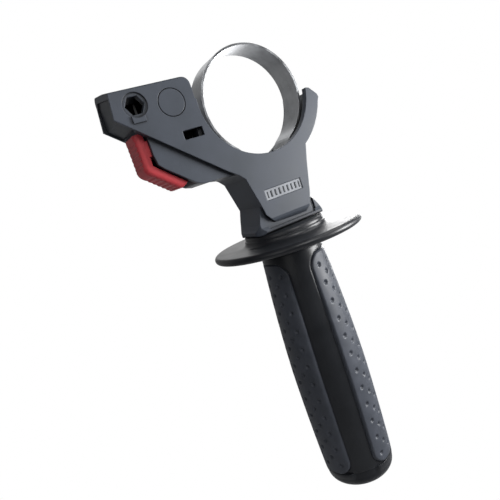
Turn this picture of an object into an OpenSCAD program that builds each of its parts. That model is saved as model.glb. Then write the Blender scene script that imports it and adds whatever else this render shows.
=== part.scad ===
// Side handle for a rotary power tool: a steel band clamps round the tool's neck, a moulded bracket
// carries a depth gauge passage with a spring-loaded release, and turning the grip draws the band tight.
// Millimetres. X runs across the bracket, Y along the tool's axis, Z along the grip towards the band.
// The origin is the centre of the loose band.

/* [Clamp band] */
// Diameter of the tool's neck that the band closes on
collar_d = 50; // [44:0.5:54]
// Thickness of the band's steel strip
band_t = 1; // [0.6:0.1:1.4]
// Width of the band's strip
band_w = 14; // [10:0.5:16]
// How far the loose band lies to the side of the grip's axis
band_lean = 1.7; // [0:0.1:2.5]
// Distance between the middles of the band's two legs
leg_span = 22; // [21:0.5:23]
// Radius of the bend where the band turns down into its legs
leg_bend_r = 12; // [11:0.25:12.5]
// Length of the longer leg, from its bend to its foot
leg_len = 6.1; // [5:0.1:9]
// Length that the feet reach in from the legs
foot_reach = 19; // [18:0.25:20]

/* [Clamp bolt] */
// Diameter of the bolt's shank, and side of its square neck
bolt_d = 8; // [6:0.5:9]
// Width across the flats of the bolt's head
bolt_head_af = 13; // [11:0.5:15]
// Height of the bolt's head
bolt_head_h = 5.3; // [4:0.1:6.5]
// Length of the square neck under the head
bolt_neck_h = 10; // [8:0.5:12]
// Length of the bolt under its head
bolt_len = 62; // [55:1:75]
// Travel of the bolt and band when the grip is screwed tight
clamp_travel = 2.5; // [1:0.25:3]

/* [Bracket] */
// Thickness of the bracket along the tool's axis
bracket_w = 24; // [21:0.5:28]
// Height of the saddle's centre over the band's centre
saddle_rise = 2.7; // [1:0.1:4]
// Gap between the neck's skin and the saddle's front lip
saddle_gap = 3.5; // [3:0.1:5]
// How much wider the saddle's rear lip is
rear_lip = 1.7; // [0:0.1:2]
// Depth of the band's channel behind the lips
channel_depth = 3.3; // [3.2:0.1:3.8]
// Thickness of the horn outside the saddle
horn_t = 6.8; // [5:0.1:9]
// Angle of the horn's tip under the saddle's centre
horn_angle = 10; // [4:1:20]
// Distance from the gauge passage to the bracket's left end
gauge_wall = 9.7; // [8.5:0.1:12]
// Height of the front face's top edge
block_top = 15.9; // [14:0.1:18]
// Height of the lower left corner of the front face
block_low = 5; // [3:0.1:6.5]
// Rise of the top face from the front edge to the back
crown_rise = 3.8; // [0:0.1:4.5]
// Drop from the saddle's bottom to the elbow where the lower edge meets the neck
elbow_drop = 5.2; // [4.2:0.1:8]
// Half width of the neck at the elbow
neck_top_hw = 18; // [17.4:0.1:20]
// Half width of the neck at its lower end
neck_low_hw = 13.4; // [12.4:0.1:15]
// Length of the neck under the elbow
neck_len = 19; // [17:0.5:24]
// Length of the tongue on the front face under the neck
tongue_len = 7.2; // [6:0.1:8]
// Height of the bracket's foot under the neck
foot_len = 11; // [10:0.1:14]
// Radius of the bracket's round foot
foot_r = 20.7; // [19:0.1:21.5]
// Half depth of the bracket's foot
foot_hd = 11.2; // [10:0.1:11.6]
// Radius of the foot's corners, seen from under it
foot_corner = 8; // [4:0.5:10]

/* [Gauge passage and release] */
// Width across the flats of the depth gauge passage
gauge_af = 7.4; // [6:0.1:8]
// Distance from the release's chamber to the middle of the passage
gauge_gap = 13.3; // [12:0.1:15]
// Height of the passage over the band's centre
gauge_z = 8.9; // [8.4:0.1:9.2]
// Radius of the round recess at each mouth of the passage
mouth_r = 5.3; // [4.8:0.1:5.6]
// Depth of that recess
mouth_depth = 0.7; // [0.3:0.1:1]
// Thickness of the walls beside the release
side_wall = 4; // [3:0.1:5]
// Thickness of the wall over the release
top_wall = 2.6; // [2:0.1:3.4]
// Wall between the band's channel and the release's chamber
chamber_wall = 10.2; // [9:0.1:13]
// Distance from the middle of the passage to the lobe's left edge
lobe_inset = 0.9; // [0.3:0.1:1.5]
// Height of the lobe's lowest point
lobe_z = -29.9; // [-31:0.1:-29]
// How far the lobe's faces lie behind the bracket's faces
lobe_step = 2; // [1:0.1:2.8]
// How far the release button stands out of the lobe
button_proud = 5.1; // [4:0.1:6]
// Thickness of the button's wall
button_wall = 4.4; // [3.6:0.1:5]
// Height of the button's upper end
button_top = -1.9; // [-3:0.1:-1.5]
// Height at which the button's outer face turns in
button_knee = -15.5; // [-16.5:0.1:-14.5]
// Slant of the button's lower side
button_tilt = 40.2; // [38:0.1:42]
// Length of the button's slanting side
button_slant = 12.6; // [12:0.1:13]
// Distance between the grooves across the button
rib_pitch = 2.2; // [2:0.05:2.3]
// Depth of the grooves across the button
rib_depth = 0.3; // [0.2:0.1:0.6]
// Travel of the button
button_travel = 2.5; // [1.5:0.1:3]
// Thickness of the steel latch
latch_t = 3; // [2:0.1:4]
// Width of the steel latch
latch_w = 5.5; // [5:0.1:6]
// How far the latch bites into the passage
latch_bite = 1; // [0.5:0.1:1.5]
// Height of the button's stem, its pin and its springs
stem_z = -8.8; // [-9.5:0.1:-8]
// Thickness of the button's stem
stem_t = 6.8; // [6:0.1:8]
// Diameter of the pin that joins the latch to the button
pin_d = 3; // [2:0.1:3.5]
// Outer diameter of the release springs
spring_d = 5; // [4:0.1:6]
// Diameter of the springs' wire
spring_wire = 0.6; // [0.4:0.05:0.8]
// Distance from the latch's middle to each spring's axis
spring_side = 4.6; // [4.4:0.1:4.8]
// Depth of the springs' seats in the bracket
spring_seat = 2; // [1:0.1:3]
// Wall of the end cover
cover_t = 2.2; // [1.6:0.1:2.6]
// How far the end cover lies behind the bracket's rim
cover_inset = 1.2; // [0.6:0.1:1.6]
// Thickness of the bracket's rim beside the end cover
cover_rim = 1.3; // [1:0.1:1.8]
// Diameter of the pin that holds the end cover
cover_pin_d = 1.6; // [1.2:0.1:1.8]

/* [Face marks] */
// Distance from the saddle to the middle of the round mark
ring_gap = 11.2; // [9.5:0.1:12.5]
// Height of the round mark
ring_z = 6.5; // [5.5:0.1:7.5]
// Radius of the round mark
ring_r = 6.1; // [5:0.1:6.5]
// Width of the mark's groove
ring_w = 0.35; // [0.2:0.05:0.6]
// Distance from the saddle to the left end of the core pocket
pocket_gap = 10.9; // [9.5:0.1:12.5]
// Width of the core pocket
pocket_w = 9.3; // [7:0.1:10]
// Height of the core pocket's floor
pocket_z = -10; // [-11:0.1:-9]
// Height of the core pocket's opening
pocket_h = 3.9; // [3:0.1:4.5]
// Depth of the core pocket
pocket_deep = 9; // [4:0.5:10]
// Depth of the pocket's wider mouth
pocket_mouth = 2.4; // [1:0.1:2.8]
// Width of the plain plate recess on the neck
label_w = 20.6; // [16:0.1:22]
// Height of the plain plate recess on the neck
label_h = 5.1; // [4:0.1:6]
// Height of that recess over the neck's lower end
label_rise = 3.4; // [2.5:0.1:4.5]
// Width of the small raised step under the passage
tab_w = 5.8; // [5:0.1:7]
// How far the step lies to the left of the passage's middle
tab_side = 0.3; // [0:0.1:1]
// Height of the small raised step
tab_h = 3; // [2:0.1:4]
// Height of that step's lower edge
tab_z = 1.7; // [1.2:0.1:1.9]
// How far that step stands out of the front face
tab_proud = 0.6; // [0.3:0.1:1]
// Depth of the shallow recesses and marks
mark_depth = 0.4; // [0.2:0.1:0.8]

/* [Grip] */
// Radius of the collar under the bracket
collar_r = 20.9; // [19:0.1:22]
// Height of the collar
collar_h = 4.5; // [3.5:0.1:6]
// Radius of the guard flange
flange_r = 37.8; // [32:0.1:42]
// Thickness of the flange at its rim
flange_t = 3.6; // [2.6:0.1:4]
// Length of the grip under the flange
grip_len = 130.4; // [120:0.1:145]
// Radius of the grip under the flange
grip_top_r = 15.1; // [14:0.1:16.5]
// Radius of the grip at its belly
grip_belly_r = 19; // [17.5:0.1:21]
// Radius of the grip at its lower end
grip_low_r = 18; // [16.5:0.1:19]
// Distance from the flange to the belly
belly_drop = 70.6; // [60:0.1:80]
// Turn of the grip at rest, measured to the middle of its front groove
grip_turn = -116.5; // [-180:0.5:180]
// Half angle of the two smooth grooves between the pads
groove_half = 20.5; // [14:0.5:30]
// How far the pads stand over the grooves
pad_proud = 1.2; // [0.6:0.1:1.6]
// Thickness of the pads
pad_t = 2.6; // [2:0.1:3]
// Distance from the flange to the pads
pad_gap = 7.6; // [6:0.1:14]
// Radius of the pads' corners
pad_corner = 7.5; // [3:0.5:9]
// Height of the rounded end cap
cap_h = 8.8; // [8:0.1:11]
// Wall of the grip's core inside the pads
core_wall = 2.8; // [2:0.1:4]
// Length of the threaded insert
insert_len = 16; // [10:0.5:20]
// Width across the flats of the threaded insert
insert_af = 13; // [12:0.5:15]

/* [Fits] */
// Clearance between pieces that slide or turn
slide_gap = 0.3; // [0.2:0.05:0.5]
// Clearance between the bolt's thread and the insert
thread_gap = 0.05; // [0.02:0.01:0.1]
// Clearance between pieces that are moulded or pressed together
seat_gap = 0.02; // [0.01:0.01:0.1]
// Thickness of the steel washer between the bracket and the grip
washer_t = 1.6; // [1:0.1:2]
// Radius of the washer
washer_r = 8; // [7:0.1:10]

/* [Hidden] */
$fn = 64;
EPS = 0.01;
// Length that cuts use to run out of the part
FAR = 50;

// Half the bracket's thickness, and the half widths of its lobe and of the chamber inside
half_w = bracket_w / 2;
lobe_hw = half_w - lobe_step;
chamber_hw = half_w - side_wall;
// Band, its legs and its feet, which lie on each other under the bolt's head
band_r = collar_d / 2;
band_mid = band_r + band_t / 2;
leg_mid = leg_span / 2;
leg_z = -(band_mid + leg_bend_r) * cos(throat_angle(1));
foot_z = leg_z - leg_len;
// Saddle, the channel behind its lips, and the horn
saddle_r = band_r + saddle_gap;
channel_r = saddle_r + channel_depth;
channel_hw = band_w / 2 + 2;
horn_r = saddle_r + horn_t;
// Distances from the grip's axis to the chamber, the passage, the lobe and the bracket's left end
chamber_reach = channel_r + chamber_wall;
gauge_reach = chamber_reach + gauge_gap;
lobe_reach = gauge_reach - lobe_inset;
block_reach = gauge_reach + gauge_wall;
chamber_step_z = stem_z - 5.2;
chamber_toe_z = stem_z - 11.2;
// Heights down the bracket, and the corner of the lower edge of its front face
elbow_z = saddle_rise - saddle_r - elbow_drop;
neck_low_z = elbow_z - neck_len;
tongue_z = neck_low_z - tongue_len;
base_z = neck_low_z - foot_len;
elbow_x = -neck_top_hw - 6.4;
edge_slope = (elbow_z + 2.4 - block_low) / (elbow_x + block_reach + 0.7);
// Places down the grip's axis
collar_z = base_z - slide_gap;
flange_z = collar_z - collar_h;
under_z = flange_z - flange_t;
grip_end_z = under_z - grip_len;
cap_z = grip_end_z + cap_h;
pad_top_z = under_z - pad_gap;
belly_z = under_z - belly_drop;
insert_z = collar_z - 5;
head_z = foot_z + 2 * band_t;
throat_z = foot_z - clamp_travel - 1;
neck_room = bolt_d / 2 + slide_gap;
// Button and latch
button_x = -lobe_reach - button_proud;
button_hw = chamber_hw - slide_gap;
slant_u = [cos(button_tilt), -sin(button_tilt)];
slant_n = [sin(button_tilt), cos(button_tilt)];
slant_start = [button_x + 2.5, button_knee - 4.7];
tip = slant_start + slant_u * (button_slant + 3.3) + slant_n * (button_wall - 0.8);
chamber_low_x = tip[0] + button_travel + 2 * slide_gap;
latch_x = -gauge_reach + gauge_corner() - latch_bite;
latch_pin_x = latch_x + latch_w / 2;
latch_low = stem_z - stem_t / 2;
stem_x = latch_x + latch_w - 0.3;
spring_len = -chamber_reach + spring_seat - stem_x;
// End cover, and the pin that holds it
cover_hw = half_w - cover_rim;
cover_x = -block_reach + cover_inset;
cover_leg = cover_t * 1.3;
cover_end = button_x + 1.2;
cover_pin_x = cover_x + 1.6;
cover_pin_z = edge_z(cover_pin_x) + cover_inset + 1.9;

// Corner radius of the hexagonal passage
function gauge_corner() = gauge_af / sqrt(3);
// Height of the bracket's lower edge at a place across it
function edge_z(x) = block_low + (x + block_reach + 0.7) * edge_slope;
// Half angle of the band's open throat on one side, so that both legs stand evenly about the bolt
function throat_angle(side) = asin((leg_mid - side * band_lean + leg_bend_r) / (band_mid + leg_bend_r));
// Radius of the grip's outline at a height
function grip_r(z) = z > belly_z
    ? grip_belly_r - (grip_belly_r - grip_top_r) * pow((z - belly_z) / (under_z - belly_z), 1.6)
    : grip_belly_r - (grip_belly_r - grip_low_r) * pow((belly_z - z) / (belly_z - cap_z), 2);
// Heights at which the grip's outline is taken
function grip_levels(z_low, z_high, count) = [for (i = [0:count]) z_low + (z_high - z_low) * i / count];
// Points on an arc about a centre
function arc_points(c, r, a0, a1, count) =
    [for (i = [0:count]) c + r * [cos(a0 + (a1 - a0) * i / count), sin(a0 + (a1 - a0) * i / count)]];

// Everything about the grip's axis is drawn on Z and then put beside the leaning band
module on_grip_axis() {
    translate([-band_lean, 0, 0]) children();
}

// A flat outline in X and Z, made thick along Y
module slab(half_width) {
    rotate([90, 0, 0]) translate([0, 0, -half_width]) linear_extrude(2 * half_width) children();
}

// Front outline of the bracket: block, saddle, horn, neck and tongue
module bracket_outline() {
    corner_r = 3.8;
    tongue_hw = neck_low_hw - 3.2;
    polygon(concat(
        [[-block_reach - 0.7, block_low],
         [elbow_x, elbow_z + 2.4],
         [-neck_top_hw - 2.3, elbow_z - 0.4],
         [-neck_top_hw, elbow_z - 2.8],
         [-neck_low_hw - 0.6, neck_low_z],
         [-neck_low_hw - 0.4, tongue_z + 5],
         [-tongue_hw - 1.2, tongue_z + 1.9],
         [-tongue_hw + 0.8, tongue_z + 0.2],
         [tongue_hw - 1.6, tongue_z - 0.8],
         [tongue_hw, tongue_z + 1],
         [neck_low_hw - 0.6, neck_low_z],
         [neck_top_hw - 1.4, elbow_z - 4],
         [neck_top_hw + 0.9, elbow_z + 3.7]],
        arc_points([0, saddle_rise], horn_r, -58, -horn_angle - 10, 8),
        [[horn_r - 1.2, saddle_rise - 10.4],
         [horn_r - 1.5, saddle_rise - 8.8],
         [horn_r - 5.2, saddle_rise - 5],
         [saddle_r, saddle_rise - 4.6]],
        [[0, saddle_rise - 4.6],
         [0, saddle_rise],
         [-saddle_r + 2, saddle_rise],
         [-saddle_r - 0.4, saddle_rise + 3.3],
         [-saddle_r - 0.4, block_top - corner_r]],
        arc_points([-saddle_r - 0.4 - corner_r, block_top - corner_r], corner_r, 0, 90, 6),
        [[-saddle_r - 0.4 - corner_r, block_top + crown_rise],
         [-block_reach + 0.4, block_top + crown_rise],
         [-block_reach + 0.4, block_top]]));
}

// Outline of the recessed lobe that houses the release
module lobe_outline() {
    polygon([[-lobe_reach, 0], [-lobe_reach, button_knee + 3.5], [-lobe_reach + 0.6, button_knee - 0.9],
             [-lobe_reach + 2.6, button_knee - 3.1], [-lobe_reach + 13.4, lobe_z + 2.3],
             [-lobe_reach + 15.8, lobe_z + 0.8], [-lobe_reach + 18.9, lobe_z], [elbow_x - 1.6, lobe_z],
             [-neck_top_hw, elbow_z - 0.4], [-leg_mid, -saddle_r], [-saddle_r, 0]]);
}

// Foot of the bracket: flat at the front and back, flaring to the grip's collar in one sheet on the left
// and round the axis on the right
module bracket_foot() {
    foot_top = neck_low_z + 6;
    intersection() {
        union() {
            intersection() {
                slab(foot_r)
                    polygon([[0, foot_top], [-neck_low_hw + 2, foot_top], [-foot_r + 6.2, neck_low_z + 2],
                             [-foot_r + 3, neck_low_z - 6], [-foot_r + 1.8, neck_low_z - 8],
                             [-foot_r + 0.8, neck_low_z - 9], [-foot_r + 0.8, base_z + 0.5],
                             [-foot_r + 1.3, base_z], [0, base_z]]);
                foot_plan(foot_top - base_z);
            }
            rotate([0, 0, -90]) rotate_extrude(angle = 180, $fn = 96)
                polygon([[0, foot_top], [neck_low_hw - 2, foot_top], [neck_low_hw, neck_low_z + 2],
                         [foot_r - 4.6, neck_low_z - 1], [foot_r - 2.4, neck_low_z - 4],
                         [foot_r - 0.9, neck_low_z - 7], [foot_r, base_z + 1.2], [foot_r - 0.1, base_z + 0.4],
                         [foot_r - 0.5, base_z], [0, base_z]]);
        }
        rotate([90, 0, 90]) translate([0, 0, -foot_r]) linear_extrude(2 * foot_r)
            polygon([[-foot_hd + 1, foot_top + 1], [-foot_hd + 1, tongue_z - 0.6],
                     [-foot_hd, tongue_z - 2.2], [-foot_hd, base_z + 0.6], [-foot_hd + 0.5, base_z - EPS],
                     [foot_hd, base_z - EPS], [foot_hd + 0.6, base_z + 0.6], [foot_hd + 0.6, foot_top + 1]]);
    }
}

// Left half of the foot's plan, with round corners
module foot_plan(tall) {
    in_x = foot_r - foot_corner;
    in_y = foot_hd + 0.6 - foot_corner;
    translate([0, 0, base_z]) {
        translate([-in_x, -in_y - foot_corner, 0]) cube([in_x, 2 * (in_y + foot_corner), tall]);
        translate([-foot_r, -in_y, 0]) cube([foot_r, 2 * in_y, tall]);
        for (y = [-in_y, in_y]) translate([-in_x, y, 0]) cylinder(r = foot_corner, h = tall);
    }
}

module housing() {
    color([0.33, 0.35, 0.38]) difference() {
        union() {
            slab(half_w) bracket_outline();
            slab(lobe_hw) lobe_outline();
            bracket_foot();
            // Raised step under the passage
            translate([-gauge_reach - tab_w / 2 - tab_side, -half_w - tab_proud, tab_z])
                cube([tab_w, tab_proud + 1, tab_h]);
        }
        crown_cut();
        // Saddle with its two lips, and the channel between them
        translate([0, 0, saddle_rise]) rotate([90, 0, 0]) {
            cylinder(r = saddle_r, h = bracket_w + 2, center = true);
            translate([0, 0, -half_w - 1]) cylinder(r = saddle_r + rear_lip, h = half_w + 1);
            cylinder(r = channel_r, h = 2 * channel_hw, center = true);
        }
        throat_cut();
        tongue_cut();
        // Bolt bore, square where it holds the bolt's neck, and the washer's seat
        translate([0, 0, base_z - 1]) cylinder(r = neck_room, h = throat_z - base_z + 2);
        translate([-neck_room, -neck_room, head_z - bolt_neck_h - clamp_travel - 0.5])
            cube([2 * neck_room, 2 * neck_room, bolt_neck_h]);
        translate([0, 0, base_z - 1]) cylinder(r = washer_r + seat_gap, h = washer_t + seat_gap + 1);
        chamber_cut();
        cover_rebate();
        spring_seats();
        gauge_cut();
        face_details();
    }
}

// Slopes the top face up towards the back and rounds its rear edge
module crown_cut() {
    back_r = 3.5;
    rotate([90, 0, 90]) translate([0, 0, -block_reach - 5]) linear_extrude(block_reach)
        polygon(concat([[-half_w - 1, block_top - 1], [-half_w, block_top - 0.5], [-half_w + 0.5, block_top]],
                       [[-half_w + 8, block_top + crown_rise * 0.45]],
                       arc_points([half_w - back_r, block_top + crown_rise - back_r], back_r, 90, 0, 6),
                       [[half_w + 1, block_top - 4], [half_w + 1, FAR], [-half_w - 1, FAR]]));
}

// Room for the band's legs, their feet and the bolt's head over the whole travel
module throat_cut() {
    leg_room = leg_mid + band_t / 2 + 1;
    slab(channel_hw)
        polygon([[-leg_room, throat_z], [leg_room, throat_z],
                 [leg_room, leg_z - clamp_travel - 1], [leg_room + 5, leg_z + 6], [leg_room + 5, leg_z + 12],
                 [-leg_room - 5, leg_z + 12], [-leg_room - 5, leg_z + 6],
                 [-leg_room, leg_z - clamp_travel - 1]]);
}

// Slants the lower end of the tongue on the front face
module tongue_cut() {
    rotate([90, 0, 90]) translate([0, 0, -neck_low_hw]) linear_extrude(2 * neck_low_hw)
        polygon([[-half_w - 1, tongue_z + 2.4], [-half_w - EPS, tongue_z + 2.4],
                 [-half_w + 0.5, tongue_z + 1.2],
                 [-foot_hd + 1 - EPS, tongue_z - 0.6], [-foot_hd + 1 - EPS, tongue_z - 2],
                 [-half_w - 1, tongue_z - 2]]);
}

// Chamber of the release, open to the left and below
module chamber_cut() {
    slab(chamber_hw)
        polygon([[-block_reach - 10, block_top - top_wall], [-chamber_reach, block_top - top_wall],
                 [-chamber_reach, chamber_step_z], [chamber_low_x, chamber_toe_z], [chamber_low_x, -FAR],
                 [-block_reach - 10, -FAR]]);
}

// Rebate that lets the end cover in between the bracket's thin rims
module cover_rebate() {
    inner_x = cover_x + cover_t + seat_gap;
    rise = cover_inset + cover_leg + seat_gap;
    intersection() {
        slab(cover_hw)
            polygon([[-block_reach - 10, block_top + crown_rise], [inner_x, block_top + crown_rise],
                     [inner_x, edge_z(inner_x) + rise], [cover_end, edge_z(cover_end) + rise],
                     [cover_end, edge_z(cover_end) - 5], [-block_reach - 10, edge_z(cover_end) - 5]]);
        cover_section(0);
    }
    translate([cover_pin_x, 0, cover_pin_z]) rotate([90, 0, 0])
        cylinder(r = cover_pin_d / 2, h = 2 * (cover_hw + 0.6), center = true);
}

// Section of the end cover's room in Y and Z, whose top follows the crown of the bracket
module cover_section(shrink) {
    side = cover_hw - shrink;
    top = block_top - top_wall - shrink;
    rotate([90, 0, 90]) translate([0, 0, -block_reach - 12]) linear_extrude(FAR)
        polygon([[-side, -FAR], [side, -FAR], [side, top + 1.4], [side - 2.6, top + crown_rise],
                 [-4, top + crown_rise * 0.42], [-side, top + crown_rise * 0.05]]);
}

// Blind seats that hold the back ends of the springs
module spring_seats() {
    for (side = [-1, 1])
        translate([-chamber_reach - EPS, side * spring_side, stem_z]) rotate([0, 90, 0])
            cylinder(r = spring_d / 2 + slide_gap, h = spring_seat + EPS);
}

// Hexagonal passage for the depth gauge, with a round recess at each mouth
module gauge_cut() {
    translate([-gauge_reach, 0, gauge_z]) rotate([90, 0, 0]) {
        cylinder(r = gauge_corner(), h = bracket_w + 2, center = true, $fn = 6);
        for (side = [-1, 1])
            translate([0, 0, side * half_w]) cylinder(r = mouth_r, h = 2 * mouth_depth, center = true);
    }
}

// Shallow marks and pockets on the faces
module face_details() {
    for (side = [-1, 1]) {
        // Round witness groove
        translate([-saddle_r - ring_gap, side * half_w, ring_z]) rotate([90, 0, 0]) difference() {
            cylinder(r = ring_r, h = 2 * mark_depth, center = true);
            cylinder(r = ring_r - ring_w, h = 2 * mark_depth + 1, center = true);
        }
        // Rectangular core pocket, narrower past its mouth so that it stays clear of the channel
        for (step = [[pocket_w, pocket_mouth], [pocket_w - 1.6, pocket_deep]])
            translate([-saddle_r - pocket_gap, side > 0 ? half_w - step[1] : -half_w - 1, pocket_z])
                cube([step[0], step[1] + 1, pocket_h]);
    }
    // Plain plate recess on the neck
    translate([-label_w / 2 - 0.5, -half_w - 1, neck_low_z + label_rise])
        cube([label_w, mark_depth + 1, label_h]);
    // Slit between the tongue and the foot's shoulder
    translate([neck_low_hw - 1, -half_w - 1, tongue_z - 1]) cube([2, 3.5, 6]);
}

// Moulded cover that closes the left end of the chamber and its underside up to the button
module end_cover() {
    top = block_top + crown_rise;
    low = edge_z(cover_x) + cover_inset;
    color([0.13, 0.14, 0.15]) difference() {
        intersection() {
            slab(cover_hw)
                polygon([[cover_x, top], [cover_x, low],
                         [cover_end - seat_gap, edge_z(cover_end) + cover_inset],
                         [cover_end - seat_gap, edge_z(cover_end) + cover_inset + cover_leg],
                         [cover_x + cover_t, edge_z(cover_x + cover_t) + cover_inset + cover_leg],
                         [cover_x + cover_t, top]]);
            cover_section(seat_gap);
        }
        translate([cover_pin_x, 0, cover_pin_z]) rotate([90, 0, 0])
            cylinder(r = cover_pin_d / 2, h = bracket_w, center = true);
    }
}

// Pin that holds the end cover in the bracket's rims
module cover_pin() {
    color([0.55, 0.56, 0.58]) translate([cover_pin_x, 0, cover_pin_z]) rotate([90, 0, 0])
        cylinder(r = cover_pin_d / 2 - seat_gap, h = 2 * (cover_hw + 0.6 - seat_gap), center = true);
}

// Outline of one leg of the band, with the bend that leads into it and a short end inside the ring's wall
module band_leg_outline(side) {
    angle = throat_angle(side);
    leg = leg_mid - side * band_lean;
    half_t = band_t / 2 - EPS;
    bend = [leg + leg_bend_r, -(band_mid + leg_bend_r) * cos(angle)];
    away = [-sin(angle), cos(angle)];
    into = 0.3 * [cos(angle), sin(angle)];
    polygon(concat([bend + (leg_bend_r - half_t) * away + into],
                   arc_points(bend, leg_bend_r - half_t, 90 + angle, 180, 8),
                   [[leg + half_t, foot_z], [leg - half_t, foot_z]],
                   arc_points(bend, leg_bend_r + half_t, 180, 90 + angle, 8),
                   [bend + (leg_bend_r + half_t) * away + into]));
}

// Steel band: a ring whose two ends turn down into legs, with overlapping feet under the bolt's head
module clamp_band() {
    color([0.72, 0.73, 0.75]) union() {
        difference() {
            rotate([90, 0, 0]) cylinder(r = band_r + band_t, h = band_w, center = true, $fn = 128);
            rotate([90, 0, 0]) cylinder(r = band_r, h = band_w + 2, center = true, $fn = 128);
            slab(band_w)
                polygon(concat([[0, 0]], arc_points([0, 0], 2 * band_r, -90 - throat_angle(-1),
                                                    -90 + throat_angle(1), 4)));
        }
        slab(band_w / 2 - EPS) band_leg_outline(1);
        mirror([1, 0, 0]) slab(band_w / 2 - EPS) band_leg_outline(-1);
        band_foot(1, 0);
        band_foot(-1, 1);
    }
}

// One foot of the band, folded in from its leg, with a square hole for the bolt's neck
module band_foot(side, level) {
    hole = bolt_d / 2 + seat_gap;
    translate([-band_lean, 0, foot_z + level * band_t]) difference() {
        translate([side > 0 ? leg_mid + band_t / 2 - foot_reach : -leg_mid - band_t / 2, -band_w / 2, 0])
            cube([foot_reach, band_w, band_t]);
        translate([-hole, -hole, -1]) cube([2 * hole, 2 * hole, band_t + 2]);
    }
}

// Hexagon bolt with a square neck under its head
module clamp_bolt() {
    color([0.6, 0.61, 0.63]) union() {
        translate([0, 0, head_z]) cylinder(r = bolt_head_af / sqrt(3), h = bolt_head_h, $fn = 6);
        translate([-bolt_d / 2, -bolt_d / 2, head_z - bolt_neck_h]) cube([bolt_d, bolt_d, bolt_neck_h + EPS]);
        translate([0, 0, head_z - bolt_len]) cylinder(r = bolt_d / 2, h = bolt_len);
    }
}

module thrust_washer() {
    color([0.6, 0.61, 0.63]) translate([0, 0, base_z]) difference() {
        cylinder(r = washer_r, h = washer_t);
        translate([0, 0, -1]) cylinder(r = bolt_d / 2 + slide_gap, h = washer_t + 2);
    }
}

// Outline of the button: outer face, knee, slanting side and stem
module button_outline() {
    wall_x = button_x + button_wall;
    inner = slant_start + slant_n * button_wall;
    polygon([[button_x, button_top], [button_x, button_knee], [button_x + 0.7, button_knee - 2.5], slant_start,
             slant_start + slant_u * button_slant,
             slant_start + slant_u * (button_slant + 2.3) + slant_n * (button_wall - 2.8), tip,
             inner + slant_u * (button_slant + 1.8),
             inner + slant_u * ((wall_x - inner[0]) / slant_u[0]),
             [wall_x, latch_low], [stem_x, latch_low], [stem_x, latch_low + stem_t],
             [wall_x, latch_low + stem_t], [wall_x, button_top]]);
}

// Grip grooves across the button's outer faces
module button_grooves() {
    groove_w = rib_pitch * 0.3;
    for (i = [0:5]) {
        translate([button_x - 1, -half_w, button_top - 1.8 - i * rib_pitch])
            cube([1 + rib_depth, bracket_w, groove_w]);
        translate([slant_start[0], 0, slant_start[1]]) rotate([0, button_tilt, 0])
            translate([0.3 + i * rib_pitch, -half_w, -1]) cube([groove_w, bracket_w, 1 + rib_depth]);
    }
}

module release_button() {
    color([0.75, 0.16, 0.18]) difference() {
        slab(button_hw) button_outline();
        button_grooves();
        // Slot for the latch, and the bore for its pin
        translate([latch_x - slide_gap, -latch_t / 2 - seat_gap, latch_low - 1])
            cube([latch_w + 2, latch_t + 2 * seat_gap, stem_t + 2]);
        translate([latch_pin_x, 0, stem_z]) rotate([90, 0, 0])
            cylinder(r = pin_d / 2, h = bracket_w, center = true);
    }
}

// Steel latch that bites into the side of the gauge in the passage
module latch_plate() {
    color([0.6, 0.61, 0.63]) difference() {
        slab(latch_t / 2)
            polygon([[latch_x, latch_low], [latch_x + latch_w, latch_low], [latch_x + latch_w, gauge_z + 2.8],
                     [latch_x, gauge_z + 2.8]]);
        translate([latch_pin_x, 0, stem_z]) rotate([90, 0, 0])
            cylinder(r = pin_d / 2, h = bracket_w, center = true);
    }
}

module latch_pin() {
    color([0.6, 0.61, 0.63]) translate([latch_pin_x, 0, stem_z]) rotate([90, 0, 0])
        cylinder(r = pin_d / 2 - seat_gap, h = 2 * button_hw, center = true);
}

// Return spring between the button's stem and its seat, drawn as a tube as thick as its wire
module release_spring(side) {
    color([0.7, 0.7, 0.72]) translate([stem_x + seat_gap, side * spring_side, stem_z]) rotate([0, 90, 0])
        rotate_extrude() translate([spring_d / 2 - spring_wire, 0])
            square([spring_wire, spring_len - 2 * seat_gap]);
}

// Outline of the grip between two heights, a set depth under its surface
module grip_profile(z_low, z_high, depth, count) {
    levels = grip_levels(z_low, z_high, count);
    polygon(concat([[0, z_low]], [for (z = levels) [grip_r(z) - depth, z]], [[0, z_high]]));
}

// Band of the grip's skin that a pad fills
module pad_blank(turn, grow) {
    span = 180 - 2 * groove_half;
    inner = pad_t;
    rotate([0, 0, grip_turn + turn + groove_half]) difference() {
        rotate_extrude(angle = span) difference() {
            grip_profile(cap_z - grow, pad_top_z + grow, -grow, 14);
            grip_profile(cap_z - 5, pad_top_z + 5, inner, 14);
        }
        for (end = [0, 1]) for (edge = [0, 1]) pad_corner_cut(end, edge, span);
    }
}

// Takes the square corner off a pad
module pad_corner_cut(end, edge, span) {
    z = end == 1 ? pad_top_z : cap_z;
    r = grip_r(z);
    reach = 2 * asin(pad_corner / (2 * r));
    up = end == 1 ? 1 : -1;
    side = edge == 1 ? 1 : -1;
    rotate([0, 0, edge == 1 ? span - reach : reach])
        translate([0, 0, z - up * pad_corner]) rotate([90, 0, 90]) linear_extrude(grip_belly_r + 10)
            difference() {
                translate([side > 0 ? 0 : -2 * pad_corner, up > 0 ? 0 : -2 * pad_corner])
                    square(2 * pad_corner);
                circle(r = pad_corner);
            }
}

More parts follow.
